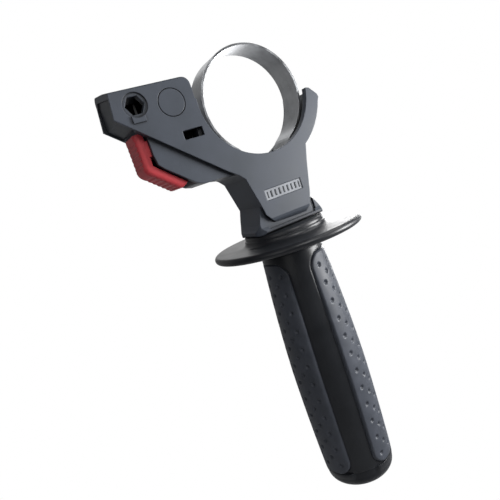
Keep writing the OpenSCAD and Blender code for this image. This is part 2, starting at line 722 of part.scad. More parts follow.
module grip_core() {
    color([0.11, 0.12, 0.13]) difference() {
        union() {
            rotate_extrude($fn = 96) grip_profile(cap_z, under_z + 1, pad_proud, 16);
            flange_and_collar();
        }
        pad_blank(0, seat_gap);
        pad_blank(180, seat_gap);
        // Hollow of the grip
        rotate_extrude() difference() {
            grip_profile(cap_z - 1, insert_z - insert_len - 4, pad_t + core_wall, 12);
            translate([-1, cap_z - 2]) square([1, grip_len]);
        }
        // Bolt clearance and the insert's seat
        translate([0, 0, insert_z - insert_len - 6]) cylinder(r = bolt_d / 2 + slide_gap, h = FAR);
        translate([0, 0, insert_z - insert_len]) cylinder(r = insert_af / sqrt(3), h = insert_len, $fn = 6);
    }
}

// Guard flange with a rounded rim, and the stepped collar over it
module flange_and_collar() {
    rim = flange_t / 2;
    rotate_extrude($fn = 128)
        polygon(concat([[0, collar_z], [collar_r - 1.1, collar_z], [collar_r - 0.6, collar_z - 0.5],
                        [collar_r - 0.6, collar_z - 1.8], [collar_r, collar_z - 2.2],
                        [collar_r, collar_z - 3.4], [collar_r + 0.9, flange_z + 0.3], [collar_r + 2, flange_z]],
                       arc_points([flange_r - rim, flange_z - rim], rim, 90, -90, 10),
                       [[grip_top_r + 3, under_z], [grip_top_r - pad_proud, under_z - 2], [0, under_z - 2]]));
}

module thread_insert() {
    color([0.75, 0.65, 0.35]) difference() {
        translate([0, 0, insert_z - insert_len + seat_gap])
            cylinder(r = insert_af / sqrt(3) - seat_gap, h = insert_len - 2 * seat_gap, $fn = 6);
        translate([0, 0, insert_z - insert_len - 1]) cylinder(r = bolt_d / 2 + thread_gap, h = insert_len + 2);
    }
}

module pad_left() {
    color([0.2, 0.21, 0.22]) pad_blank(180, 0);
}

module pad_right() {
    color([0.36, 0.38, 0.41]) pad_blank(0, 0);
}

// Domed end cap with a spigot in the core
module end_cap() {
    dome_r = 5.5;
    full_r = grip_r(cap_z);
    top_r = full_r - pad_proud;
    spigot_r = grip_r(cap_z) - pad_t - core_wall - seat_gap;
    color([0.11, 0.12, 0.13])
        rotate_extrude($fn = 96)
            polygon(concat([[0, cap_z + 3], [spigot_r, cap_z + 3], [spigot_r, cap_z - seat_gap],
                            [top_r, cap_z - seat_gap], [full_r - 0.3, cap_z - 0.9],
                            [full_r - 0.15, cap_z - 1.8]],
                           arc_points([full_r - 0.5 - dome_r, grip_end_z + dome_r], dome_r, 0, -80, 8),
                           [[0, grip_end_z - 0.6]]));
}

on_grip_axis() housing();
on_grip_axis() end_cover();
on_grip_axis() cover_pin();
clamp_band();
on_grip_axis() clamp_bolt();
on_grip_axis() thrust_washer();
on_grip_axis() release_button();
on_grip_axis() latch_plate();
on_grip_axis() latch_pin();
on_grip_axis() release_spring(-1);  // front_spring
on_grip_axis() release_spring(1);  // rear_spring
on_grip_axis() grip_core();
on_grip_axis() thread_insert();
on_grip_axis() pad_left();
on_grip_axis() pad_right();
on_grip_axis() end_cap();
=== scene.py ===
"""Dresses the side handle: a moulded bracket, a steel clamping band, a red release button and a dimpled grip.

Every length is in metres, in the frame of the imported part: X runs across the bracket, Y along the tool's
axis away from the camera, and Z along the grip towards the band.
"""

import logging
import math
from dataclasses import dataclass, field
from enum import Enum
from typing import Any, Callable

import bmesh
import bpy
from mathutils import Matrix, Vector


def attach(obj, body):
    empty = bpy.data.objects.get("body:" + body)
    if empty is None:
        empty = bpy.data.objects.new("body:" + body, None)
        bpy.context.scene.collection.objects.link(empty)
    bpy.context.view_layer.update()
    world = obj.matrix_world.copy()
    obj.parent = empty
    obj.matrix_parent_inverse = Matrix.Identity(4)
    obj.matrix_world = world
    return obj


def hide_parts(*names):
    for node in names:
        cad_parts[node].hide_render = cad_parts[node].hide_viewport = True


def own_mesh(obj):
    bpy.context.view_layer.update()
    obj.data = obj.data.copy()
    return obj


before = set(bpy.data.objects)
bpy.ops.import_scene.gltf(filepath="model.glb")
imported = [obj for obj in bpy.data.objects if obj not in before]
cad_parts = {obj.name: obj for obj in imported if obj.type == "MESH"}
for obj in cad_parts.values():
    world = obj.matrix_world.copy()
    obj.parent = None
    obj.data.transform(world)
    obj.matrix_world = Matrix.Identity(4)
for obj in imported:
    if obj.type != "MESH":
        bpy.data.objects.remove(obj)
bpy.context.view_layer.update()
LOG = logging.getLogger("side_handle")
MM = 0.001
GRIP_AXIS_X = -1.7 * MM

Inputs = dict[Any, Any]


def linear(colour: str) -> tuple[float, float, float, float]:
    """Turns an sRGB hex colour to linear light.

    Args:
        colour: Six hex digits, such as "5b6069".

    Returns:
        Red, green, blue and an alpha of 1.
    """
    parts = [int(colour[i:i + 2], 16) / 255 for i in (0, 2, 4)]
    light = [c / 12.92 if c <= 0.04045 else ((c + 0.055) / 1.055) ** 2.4 for c in parts]
    return (light[0], light[1], light[2], 1.0)


def add(tree: bpy.types.NodeTree, kind: str, inputs: Inputs | None = None, **settings: Any) -> bpy.types.Node:
    """Adds a node with its settings and links.

    Args:
        tree: The node tree that gets the node.
        kind: The node's type without its "ShaderNode" prefix.
        inputs: A value, or an output socket to link, for each input by name or number.
        **settings: The node's own settings.

    Returns:
        The new node.
    """
    node = tree.nodes.new(f"ShaderNode{kind}")
    for name, value in settings.items():
        setattr(node, name, value)
    for key, value in (inputs or {}).items():
        if isinstance(value, bpy.types.NodeSocket):
            tree.links.new(value, node.inputs[key])
        else:
            node.inputs[key].default_value = value
    return node


def smooth(share: float) -> float:
    """Gives a share eased at both ends, held between 0 and 1."""
    held = min(1.0, max(0.0, share))
    return held * held * (3 - 2 * held)


class Body(str, Enum):
    """The moving bodies that a piece can ride on."""

    BRACKET = "bracket"
    GRIP = "grip"
    CLAMP = "clamp"
    BUTTON = "button"


@dataclass(frozen=True)
class Finish:
    """A surface finish, shared by the finishes below.

    The grain is the tool's texture that a moulding or a rolled strip takes on. Its size is in millimetres.
    """

    name: str
    slot: str
    colour: str
    dark: str
    roughness: float = 0.5
    roughness_spread: float = 0.08
    ior: float = 1.5
    metallic: float = 0.0
    coat: float = 0.0
    grain_mm: float = 0.35
    grain_height_mm: float = 0.012
    patch_mm: float = 9.0
    edge_mm: float = 0.35
    # How far the painted corner shade reaches, in millimetres; 0 paints none.
    corner_shade_mm: float = 0.0

    def place(self, tree: bpy.types.NodeTree) -> bpy.types.NodeSocket:
        """Gives the pattern's coordinates in millimetres."""
        where = add(tree, "TexCoord").outputs["Object"]
        return add(tree, "Mapping", {"Vector": where, "Scale": (1000, 1000, 1000)}).outputs["Vector"]

    def grain(self, tree: bpy.types.NodeTree, place: bpy.types.NodeSocket) -> bpy.types.NodeSocket:
        """Gives the height of the fine grain."""
        return add(tree, "TexNoise", {"Vector": place, "Scale": 1 / self.grain_mm, "Detail": 2.0}).outputs["Fac"]

    def bend(self, tree: bpy.types.NodeTree, place: bpy.types.NodeSocket,
             normal: bpy.types.NodeSocket) -> bpy.types.NodeSocket:
        """Gives the softened normal as it is."""
        return normal

    def paint_corner_shade(self, tree: bpy.types.NodeTree, tone: bpy.types.NodeSocket) -> bpy.types.NodeSocket:
        """Paints shade into the corners and recesses: darkens the colour where nearby surfaces close it in."""
        if self.corner_shade_mm == 0:
            return tone
        # The painted shade: ambient occlusion, squared, multiplies the base colour.
        open_air = add(tree, "AmbientOcclusion", {"Distance": self.corner_shade_mm * MM}, samples=8)
        share = add(tree, "Math", {0: open_air.outputs["AO"], 1: 2.0}, operation="POWER")
        mixed = add(tree, "Mix", {"Factor": 1.0, 6: tone, 7: share.outputs["Value"]}, data_type="RGBA",
                    blend_type="MULTIPLY")
        return mixed.outputs[2]

    def material(self) -> bpy.types.Material:
        """Builds the material once and gives it.

        Returns:
            The finish as a material.
        """
        known = bpy.data.materials.get(self.name)
        if known:
            return known
        made = bpy.data.materials.new(self.name)
        made.use_nodes = True
        tree = made.node_tree
        tree.nodes.clear()
        place = self.place(tree)
        grain = self.grain(tree, place)
        patches = add(tree, "TexNoise", {"Vector": place, "Scale": 1 / self.patch_mm, "Detail": 4.0})
        tone = add(tree, "ValToRGB", {"Fac": patches.outputs["Fac"]})
        tone.color_ramp.elements[0].position = 0.35
        tone.color_ramp.elements[0].color = linear(self.dark)
        tone.color_ramp.elements[1].position = 0.65
        tone.color_ramp.elements[1].color = linear(self.colour)
        sheen = add(tree, "MapRange", {
            "Value": patches.outputs["Fac"],
            "From Min": 0.3,
            "From Max": 0.7,
            "To Min": self.roughness - self.roughness_spread,
            "To Max": self.roughness + self.roughness_spread,
        })
        edge = add(tree, "Bevel", {"Radius": self.edge_mm * MM}, samples=6)
        bump = add(tree, "Bump", {
            "Height": grain,
            "Normal": self.bend(tree, place, edge.outputs["Normal"]),
            "Distance": self.grain_height_mm * MM,
            "Strength": 1.0,
        })
        shader = add(tree, "BsdfPrincipled", {
            "Base Color": self.paint_corner_shade(tree, tone.outputs["Color"]),
            "Roughness": sheen.outputs["Result"],
            "IOR": self.ior,
            "Metallic": self.metallic,
            "Coat Weight": self.coat,
            "Coat Roughness": 0.12,
            "Normal": bump.outputs["Normal"],
        })
        add(tree, "OutputMaterial", {"Surface": shader.outputs["BSDF"]})
        return made


@dataclass(frozen=True)
class GlassFilledNylon(Finish):
    """Glass-filled nylon, injection moulded: matt, with faint flow streaks where the fibres reach the skin."""

    streak_mm: float = 1.4

    def grain(self, tree: bpy.types.NodeTree, place: bpy.types.NodeSocket) -> bpy.types.NodeSocket:
        """Gives the height of the spark-eroded grain, with the streaks of the fibres on it."""
        fine = add(tree, "TexNoise", {"Vector": place, "Scale": 1 / self.grain_mm, "Detail": 3.0})
        along = add(tree, "Mapping", {"Vector": place, "Rotation": (0, 0.7, 0), "Scale": (0.16, 1, 1)})
        streaks = add(tree, "TexNoise", {"Vector": along.outputs["Vector"], "Scale": 1 / self.streak_mm, "Detail": 3.0})
        both = add(tree, "Math", {0: fine.outputs["Fac"], 1: streaks.outputs["Fac"]}, operation="ADD")
        return both.outputs["Value"]


@dataclass(frozen=True)
class BracketNylon(GlassFilledNylon):
    """The bracket's nylon: its foot is crowned like the round collar under it, which its flat front doesn't have."""

    foot_z_mm: tuple[float, float] = (-54.0, -57.0)
    foot_y_mm: tuple[float, float] = (-12.2, -13.0)

    def bend(self, tree: bpy.types.NodeTree, place: bpy.types.NodeSocket,
             normal: bpy.types.NodeSocket) -> bpy.types.NodeSocket:
        """Turns the foot's normals outward from the grip's axis."""
        parts = add(tree, "SeparateXYZ", {"Vector": place})
        low = add(tree, "MapRange", {"Value": parts.outputs["Z"], "From Min": self.foot_z_mm[0],
                                     "From Max": self.foot_z_mm[1]})
        front = add(tree, "MapRange", {"Value": parts.outputs["Y"], "From Min": self.foot_y_mm[0],
                                       "From Max": self.foot_y_mm[1]})
        share = add(tree, "Math", {0: low.outputs["Result"], 1: front.outputs["Result"]}, operation="MULTIPLY")
        from_axis = add(tree, "Math", {0: parts.outputs["X"], 1: GRIP_AXIS_X / MM}, operation="SUBTRACT")
        outward = add(tree, "CombineXYZ", {"X": from_axis.outputs["Value"], "Y": parts.outputs["Y"]})
        unit = add(tree, "VectorMath", {0: outward.outputs["Vector"]}, operation="NORMALIZE")
        mixed = add(tree, "Mix", {"Factor": share.outputs["Value"], 4: normal, 5: unit.outputs["Vector"]},
                    data_type="VECTOR")
        return add(tree, "VectorMath", {0: mixed.outputs[1]}, operation="NORMALIZE").outputs["Vector"]


@dataclass(frozen=True)
class RolledStrip(Finish):
    """Cold-rolled steel strip bent to a ring: satin, with fine lines that run round it from the rolls."""

    line_mm: float = 0.12

    def grain(self, tree: bpy.types.NodeTree, place: bpy.types.NodeSocket) -> bpy.types.NodeSocket:
        """Gives the height of the rolling lines, which follow the ring and repeat across its width."""
        parts = add(tree, "SeparateXYZ", {"Vector": place})
        turn = add(tree, "Math", {0: parts.outputs["Z"], 1: parts.outputs["X"]}, operation="ARCTAN2")
        slow = add(tree, "Math", {0: turn.outputs["Value"], 1: 2.0}, operation="MULTIPLY")
        across = add(tree, "Math", {0: parts.outputs["Y"], 1: 1 / self.line_mm}, operation="MULTIPLY")
        lines = add(tree, "CombineXYZ", {"X": slow.outputs["Value"], "Y": across.outputs["Value"]})
        return add(tree, "TexNoise", {"Vector": lines.outputs["Vector"], "Scale": 1.0, "Detail": 3.0}).outputs["Fac"]


# The bracket's nylon gets painted shade in its corners and recesses, reaching 5 mm.
BRACKET_NYLON = BracketNylon("glass_filled_nylon", "bracket_plastic", "434954", "3d434c", 0.5, 0.05,
                                 patch_mm=14.0, grain_height_mm=0.014, edge_mm=0.55, corner_shade_mm=5.0)
COVER_NYLON = GlassFilledNylon("dark_nylon_cover", "cover_plastic", "3d4248", "373b40", 0.5, 0.06, edge_mm=0.4)
STRIP_STEEL = RolledStrip("rolled_steel_strip", "band_steel", "b9bbbe", "a5a7aa", 0.32, 0.06, metallic=1.0,
                          grain_height_mm=0.004, patch_mm=5.0, edge_mm=0.15)
ZINC_STEEL = Finish("zinc_plated_steel", "bolt_steel", "b9bbb8", "9a9c9b", 0.34, 0.1, metallic=1.0,
                    grain_height_mm=0.004, patch_mm=3.0, edge_mm=0.2)
LATCH_STEEL = Finish("blackened_latch_steel", "bolt_steel", "26272a", "1d1e20", 0.45, 0.08, metallic=1.0,
                     grain_height_mm=0.004, patch_mm=3.0, edge_mm=0.2)
SPRING_WIRE = Finish("drawn_spring_wire", "spring_steel", "a3a5a8", "808286", 0.25, 0.05, metallic=1.0, edge_mm=0.05)
RED_ABS = Finish("red_abs", "button_plastic", "cf434a", "bd3b42", 0.55, 0.04, grain_height_mm=0.006,
                 patch_mm=6.0, edge_mm=0.3)
GRIP_PLASTIC = Finish("polished_grip_plastic", "grip_plastic", "24262a", "1f2125", 0.38, 0.05,
                      grain_height_mm=0.0015, patch_mm=12.0, edge_mm=0.4)
PAD_RUBBER = Finish("soft_pad_rubber", "pad_rubber", "474b54", "3f434b", 0.5, 0.06, grain_mm=0.25,
                    grain_height_mm=0.01, patch_mm=7.0, edge_mm=0.15)
TURNED_BRASS = Finish("turned_brass", "insert_brass", "c7a45a", "b18f48", 0.3, 0.05, metallic=1.0, edge_mm=0.1)
PLATE_FLOOR = Finish("pale_plate_floor", "bracket_plastic", "9da0a6", "888b91", 0.6, 0.05, edge_mm=0.05)


def dress(node: str, finish: Finish) -> None:
    """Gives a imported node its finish."""
    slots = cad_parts[node].data.materials
    slots.clear()
    slots.append(finish.material())
    LOG.info("dressed %s in %s", node, finish.name)


def piece(name: str, bm: bmesh.types.BMesh, finish: Finish, body: Body, stands_for: tuple[str, ...] = (),
          shade: float = 40.0) -> bpy.types.Object:
    """Turns a mesh into a piece that rides on a body.

    Args:
        name: The piece's name.
        bm: Its mesh, which is freed here.
        finish: Its finish.
        body: The body that it moves with.
        stands_for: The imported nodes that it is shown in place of.
        shade: The angle in degrees up to which faces are shaded as one.

    Returns:
        The new object.
    """
    bmesh.ops.remove_doubles(bm, verts=bm.verts, dist=1e-6)
    bmesh.ops.recalc_face_normals(bm, faces=bm.faces)
    mesh = bpy.data.meshes.new(name)
    bm.to_mesh(mesh)
    bm.free()
    mesh.materials.append(finish.material())
    mesh.shade_smooth()
    mesh.set_sharp_from_angle(angle=math.radians(shade))
    made = bpy.data.objects.new(name, mesh)
    bpy.context.collection.objects.link(made)
    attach(made, body.value)
    if stands_for:
        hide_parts(*stands_for)
    LOG.info("made %s with %d faces on %s", name, len(mesh.polygons), body.value)
    return made


@dataclass
class Bracket:
    """The moulded bracket with its end cover and the plain plate on its neck."""

    front_y: float = -12.0 * MM
    plate_deep: float = 0.4 * MM
    plate_low: tuple[float, float] = (-12.3 * MM, -46.5 * MM)
    plate_size: tuple[float, float] = (20.4 * MM, 4.9 * MM)
    bars: tuple[float, ...] = (0.9, 1.5, 1.4, 1.6, 1.4, 1.5, 1.2, 1.5, 0.9)
    bar_high: float = 2.9 * MM

    def build(self) -> None:
        """Dresses the bracket's nodes and adds the plate on its neck."""
        dress("housing", BRACKET_NYLON)
        dress("end_cover", COVER_NYLON)
        dress("cover_pin", ZINC_STEEL)
        dress("thrust_washer", ZINC_STEEL)
        self.neck_plate()

    def neck_plate(self) -> None:
        """Makes the pale plate in the neck's recess, with a plain row of raised bars."""
        bm = bmesh.new()
        low_x, low_z = self.plate_low
        wide, high = self.plate_size
        floor_y = self.front_y + self.plate_deep - 0.02 * MM
        centre = Vector((low_x + wide / 2, floor_y, low_z + high / 2))
        bmesh.ops.create_cube(bm, size=1, matrix=Matrix.Translation(centre) @ Matrix.Diagonal(
            (wide, 0.1 * MM, high, 1)))
        piece("neck_plate", bm, PLATE_FLOOR, Body.BRACKET)
        bars = bmesh.new()
        gap = (wide / MM - sum(self.bars)) / (len(self.bars) + 1)
        x = low_x / MM + gap
        for width in self.bars:
            middle = Vector(((x + width / 2) * MM, floor_y - 0.12 * MM, low_z + high / 2))
            bmesh.ops.create_cube(bars, size=1, matrix=Matrix.Translation(middle) @ Matrix.Diagonal(
                (width * MM * 0.62, 0.22 * MM, self.bar_high, 1)))
            x += width + gap
        bmesh.ops.bevel(bars, geom=bars.edges[:], offset=0.08 * MM, segments=2, affect="EDGES", profile=0.5,
                        material=-1)
        piece("neck_plate_bars", bars, COVER_NYLON, Body.BRACKET)


@dataclass
class ClampBand:
    """The steel band and the bolt that draws it down."""

    def build(self) -> None:
        """Dresses the band and its bolt."""
        dress("clamp_band", STRIP_STEEL)
        dress("clamp_bolt", ZINC_STEEL)


@dataclass
class ReleaseButton:
    """The red button with its latch, pin and two return springs.

    The button is lofted along its inner line: straight down, round the knee and along the slant.
    """

    inner_x: float = -56.8 * MM
    top_z: float = -1.9 * MM
    knee_z: float = -16.05 * MM
    slant: float = math.radians(40.2)
    slant_long: float = 16.1 * MM
    inner_gap: float = 0.15 * MM
    wall: float = 4.4 * MM
    half_wide: float = 7.7 * MM
    outer_round: float = 2.2 * MM
    inner_round: float = 0.4 * MM
    rib_pitch: float = 2.2 * MM
    rib_deep: float = 0.5 * MM
    rib_from: float = 1.8 * MM
    step: float = 0.15 * MM
    stem_right_x: float = -48.53 * MM
    stem_z: float = -8.8 * MM
    stem_half: float = 3.4 * MM
    slot_half: float = 1.52 * MM
    slot_left_x: float = -54.03 * MM
    spring_side: float = 4.6 * MM
    spring_r: float = 2.2 * MM
    wire_r: float = 0.3 * MM
    spring_seat_x: float = -41.7 * MM
    spring_turns: float = 6.0
    press: float = 2.5 * MM

    def build(self) -> None:
        """Dresses the latch and its pin, and makes the button and the springs."""
        dress("latch_plate", LATCH_STEEL)
        dress("latch_pin", ZINC_STEEL)
        self.button()
        for side, node in ((-1, "front_spring"), (1, "rear_spring")):
            self.spring(side, node)

    def rib(self, along: float, start: float, end: float) -> float:
        """Gives how deep the ribbed skin lies at a distance along the outer face."""
        if not start < along < end:
            return 0.0
        phase = ((along - start) / self.rib_pitch) % 1.0
        return self.rib_deep * (phase / 0.72 if phase < 0.72 else (1 - phase) / 0.28)

    def frames(self) -> list[tuple[Vector, Vector, float, float]]:
        """Gives the stations of the loft: inner point, outward direction, thickness and rib depth."""
        found = []
        straight = self.top_z - self.knee_z
        count = int(straight / self.step)
        for i in range(count + 1):
            along = straight * i / count
            cap = min(1.0, (along + 0.25 * MM) / (0.9 * MM))
            thick = self.wall - 0.9 * MM * (1 - math.sqrt(max(0.0, 1 - (1 - cap) ** 2)))
            found.append((Vector((self.inner_x, 0, self.top_z - along)), Vector((-1, 0, 0)), thick,
                          self.rib(along, self.rib_from, self.rib_from + 5.6 * self.rib_pitch)))
        turn = math.radians(90) - self.slant
        corner = Vector((self.inner_x, 0, self.knee_z))
        for i in range(1, 24):
            angle = turn * i / 24
            found.append((corner, Vector((-math.cos(angle), 0, -math.sin(angle))), self.wall, 0.0))
        ahead = Vector((math.cos(self.slant), 0, -math.sin(self.slant)))
        out = Vector((-math.sin(self.slant), 0, -math.cos(self.slant)))
        count = int(self.slant_long / self.step)
        for i in range(count + 1):
            along = self.slant_long * i / count
            left = (self.slant_long - along) / (3.2 * MM)
            thick = self.wall if left > 1 else self.wall * (0.25 + 0.75 * math.sqrt(max(0.0, 1 - (1 - left) ** 2)))
            found.append((corner + ahead * along, out, thick,
                          self.rib(along, 1.0 * MM, 1.0 * MM + 5.6 * self.rib_pitch)))
        return found

    def section(self, thick: float, rib: float) -> list[tuple[float, float]]:
        """Gives the loft's section as pairs of height over the inner line and place across the button."""
        points = []
        for side in (-1, 1):
            ring = []
            for i in range(7):
                angle = math.radians(90) * i / 6
                ring.append((self.inner_gap + self.inner_round * (1 - math.cos(angle)),
                             side * (self.half_wide - self.inner_round * (1 - math.sin(angle)))))
            for i in range(9):
                angle = math.radians(90) * i / 8
                over = thick - self.outer_round * (1 - math.sin(angle))
                ring.append((min(over, thick - rib),
                             side * (self.half_wide - self.outer_round * (1 - math.cos(angle)))))
            points.extend(ring if side < 0 else reversed(ring))
        return points

    def button(self) -> None:
        """Lofts the button and adds its forked stem, which the latch is pinned in."""
        bm = bmesh.new()
        rings = []
        for base, out, thick, rib in self.frames():
            rings.append([bm.verts.new(base + out * over + Vector((0, across, 0)))
                          for over, across in self.section(thick, rib)])
        for near, far in zip(rings, rings[1:]):
            for i in range(len(near)):
                j = (i + 1) % len(near)
                bm.faces.new((near[i], near[j], far[j], far[i]))
        bm.faces.new(reversed(rings[0]))
        bm.faces.new(rings[-1])
        prong = (self.half_wide - self.slot_half) / 2
        middle_x = (self.inner_x - 1.0 * MM + self.stem_right_x) / 2
        for side in (-1, 1):
            place = Vector((middle_x, side * (self.slot_half + prong), self.stem_z))
            bmesh.ops.create_cube(bm, size=1, matrix=Matrix.Translation(place) @ Matrix.Diagonal(
                (self.stem_right_x - self.inner_x + 1.0 * MM, 2 * prong - 0.02 * MM, 2 * self.stem_half, 1)))
        piece("ribbed_button", bm, RED_ABS, Body.BUTTON, ("release_button",), shade=45)

    def spring(self, side: int, node: str) -> None:
        """Winds one return spring between the stem and its seat in the bracket.

        Args:
            side: -1 for the front spring, 1 for the rear one.
            node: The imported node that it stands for.
        """
        bm = bmesh.new()
        start = self.stem_right_x + self.wire_r
        long = self.spring_seat_x - self.wire_r - start
        steps, around = int(self.spring_turns * 28), 10
        rings = []
        for i in range(steps + 1):
            share = i / steps
            angle = 2 * math.pi * self.spring_turns * share
            eased = share - 0.45 * math.sin(2 * math.pi * share) / (2 * math.pi)
            centre = Vector((start + long * eased, side * self.spring_side + self.spring_r * math.cos(angle),
                             self.stem_z + self.spring_r * math.sin(angle)))
            out = Vector((0, math.cos(angle), math.sin(angle)))
            rings.append([bm.verts.new(centre + self.wire_r * (math.cos(2 * math.pi * j / around) * out
                                                               + math.sin(2 * math.pi * j / around)
                                                               * Vector((1, 0, 0)))) for j in range(around)])
        for near, far in zip(rings, rings[1:]):
            for j in range(around):
                k = (j + 1) % around
                bm.faces.new((near[j], near[k], far[k], far[j]))
        bm.faces.new(reversed(rings[0]))
        bm.faces.new(rings[-1])
        made = piece(f"{node}_coil", bm, SPRING_WIRE, Body.BRACKET, (node,))
        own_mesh(made)


@dataclass(frozen=True)
class Pad:
    """One rubber pad: its name, the node it stands for, its turn from the groove and the width of its rolled edge."""

    name: str
    node: str
    turn: float
    edge_end: float
    edge_middle: float


@dataclass
class Grip:
    """The grip: a glossy core with its guard flange, two dimpled rubber pads and an end cap.

    The two smooth grooves between the pads run out to nothing at the flange and in the cap.
    """

    collar_z: float = -61.3 * MM
    flange_z: float = -65.8 * MM
    under_z: float = -69.4 * MM
    belly_z: float = -140.0 * MM
    pad_top_z: float = -77.0 * MM
    pad_low_z: float = -191.0 * MM
    end_z: float = -199.8 * MM
    collar_r: float = 20.9 * MM
    flange_r: float = 37.8 * MM
    top_r: float = 15.1 * MM
    belly_r: float = 19.0 * MM
    low_r: float = 18.0 * MM
    fillet: float = 4.0 * MM
    turn: float = -116.5
    groove_half: float = 20.5
    groove_deep: float = 1.2 * MM
    groove_starts_z: float = -82.0 * MM
    groove_full_z: float = -106.0 * MM
    groove_ends_z: float = -197.5 * MM
    roll_fade: float = 3.0 * MM
    recess: float = 2.6 * MM
    wall: float = 5.4 * MM
    bore_r: float = 4.3 * MM
    seat_r: float = 9.3 * MM
    seat_top_z: float = -66.3 * MM
    seat_low_z: float = -82.3 * MM
    hollow_top_z: float = -86.3 * MM
    seam: float = 0.05 * MM
    around: int = 240
    row: float = 0.55 * MM
    corner_r: float = 7.5 * MM
    sunk: float = 1.55 * MM
    thick: float = 2.45 * MM
    step: float = 0.36 * MM
    dimple_r: float = 1.3 * MM
    dimple_deep: float = 0.95 * MM
    dimple_pitch: float = 9.3 * MM
    dimple_first_z: float = -83.2 * MM
    dimple_rows: int = 12
    dimple_columns: int = 9
    dimple_column_start: float = 36.5
    dimple_column_step: float = 13.375
    pads: tuple[Pad, ...] = (Pad("right_pad", "pad_right", 90, 1.1 * MM, 1.3 * MM),
                             Pad("left_pad", "pad_left", -90, 0.4 * MM, 3.2 * MM))

    def radius(self, z: float) -> float:
        """Gives the radius of the grip's skin at a height."""
        if z > self.belly_z:
            share = min(1.0, (z - self.belly_z) / (self.under_z - self.belly_z))
            return self.belly_r - (self.belly_r - self.top_r) * share ** 1.6
        share = (self.belly_z - z) / (self.belly_z - self.pad_low_z)
        return self.belly_r - (self.belly_r - self.low_r) * share ** 2

    def dimples(self) -> list[tuple[float, float]]:
        """Gives each dimple's angle from the groove's middle and its height."""
        found = []
        for column in range(self.dimple_columns):
            angle = self.dimple_column_start + column * self.dimple_column_step
            shift = 0.5 * self.dimple_pitch if column % 2 else 0.0
            for row in range(self.dimple_rows):
                z = self.dimple_first_z + shift - row * self.dimple_pitch
                if self.edge_distance(angle - 90, z) > 1.6 * MM:
                    found.append((angle - 90, z))
        return found

    def edge_distance(self, angle: float, z: float) -> float:
        """Gives the distance inside the pad's rounded outline.

        Args:
            angle: Degrees from the pad's middle.
            z: Height.

        Returns:
            The distance to the nearest edge along the skin, negative outside the pad.
        """
        half = math.radians(90 - self.groove_half) * self.radius(z)
        side = half - abs(math.radians(angle)) * self.radius(z)
        end = min(self.pad_top_z - z, z - self.pad_low_z)
        if side < self.corner_r and end < self.corner_r:
            return self.corner_r - math.hypot(self.corner_r - side, self.corner_r - end)
        return min(side, end)

    def edge_width(self, pad: Pad, z: float) -> float:
        """Gives the width of a pad's rolled edge at a height: narrow at its ends, and wider along its sides."""
        share = smooth(min((self.groove_starts_z - z) / (18 * MM), (z - self.pad_low_z) / (12 * MM)))
        return pad.edge_end + (pad.edge_middle - pad.edge_end) * share

    def depth(self, pad: Pad, angle: float, z: float,
              near: Callable[[float, float], list[tuple[float, float]]]) -> float:
        """Gives how deep the pad's surface lies under the grip's skin at a place."""
        inside = self.edge_distance(angle, z)
        if inside <= 0:
            return self.sunk
        rolled = 0.0
        width = self.edge_width(pad, z)
        if inside < width:
            rolled = self.sunk * (1 - math.sqrt(1 - (1 - inside / width) ** 2))
        for dimple_angle, dimple_z in near(angle, z):
            across = math.radians(angle - dimple_angle) * self.radius(z)
            away = math.hypot(across, z - dimple_z) / self.dimple_r
            if away < 1:
                rolled = max(rolled, self.dimple_deep * (1 - away * away))
        return rolled

    def near_dimples(self) -> Callable[[float, float], list[tuple[float, float]]]:
        """Gives a function that lists the dimples near a place."""
        cell_angle, cell_z = 8.0, 4 * MM
        table: dict[tuple[int, int], list[tuple[float, float]]] = {}
        for angle, z in self.dimples():
            for i in (-1, 0, 1):
                for j in (-1, 0, 1):
                    key = (math.floor(angle / cell_angle) + i, math.floor(z / cell_z) + j)
                    table.setdefault(key, []).append((angle, z))
        return lambda angle, z: table.get((math.floor(angle / cell_angle), math.floor(z / cell_z)), [])

    def pad(self, pad: Pad) -> None:
        """Makes one rubber pad with rolled edges and its dimples."""
        half = 90 - self.groove_half
        spill = 0.4 * MM
        tall = self.pad_top_z - self.pad_low_z + 2 * spill
        across = int(2 * math.radians(half) * self.belly_r / self.step)
        bm = bmesh.new()
        bmesh.ops.create_grid(bm, x_segments=across, y_segments=int(tall / self.step), size=0.5)
        near = self.near_dimples()
        for vert in bm.verts:
            angle = vert.co.x * 2 * (half + 1.2)
            z = min(self.pad_top_z, max(self.pad_low_z, self.pad_low_z - spill + (vert.co.y + 0.5) * tall))
            vert.co = self.on_skin(angle, z, self.radius(z) - self.depth(pad, angle, z, near), pad.turn)
        bmesh.ops.remove_doubles(bm, verts=bm.verts, dist=1e-6)
        shell = bmesh.ops.extrude_face_region(bm, geom=bm.faces[:])
        for vert in (v for v in shell["geom"] if isinstance(v, bmesh.types.BMVert)):
            flat = Vector((vert.co.x - GRIP_AXIS_X, vert.co.y, 0))
            vert.co -= flat.normalized() * (flat.length - self.radius(vert.co.z) + self.thick)
        piece(pad.name, bm, PAD_RUBBER, Body.GRIP, (pad.node,), shade=70)

    def on_skin(self, angle: float, z: float, r: float, turn: float) -> Vector:
        """Gives the place at an angle from a pad's middle, a height and a radius."""
        round_z = math.radians(self.turn + turn + angle)
        return Vector((GRIP_AXIS_X + r * math.cos(round_z), r * math.sin(round_z), z))

    def spun(self, profile: list[tuple[float, float]]) -> bmesh.types.BMesh:
        """Turns a profile of radius and height about the grip's axis.

        Args:
            profile: The points in order. It is closed when it doesn't start on the axis.

        Returns:
            The turned mesh.
        """
        bm = bmesh.new()
        verts = [bm.verts.new((GRIP_AXIS_X + r, 0, z)) for r, z in profile]
        edges = [bm.edges.new(pair) for pair in zip(verts, verts[1:])]
        if profile[0][0] > 0:
            edges.append(bm.edges.new((verts[-1], verts[0])))
        bmesh.ops.spin(bm, geom=verts + edges, cent=(GRIP_AXIS_X, 0, 0), axis=(0, 0, 1), angle=2 * math.pi,
                       steps=self.around, use_merge=True)
        bmesh.ops.remove_doubles(bm, verts=bm.verts, dist=1e-6)
        return bm

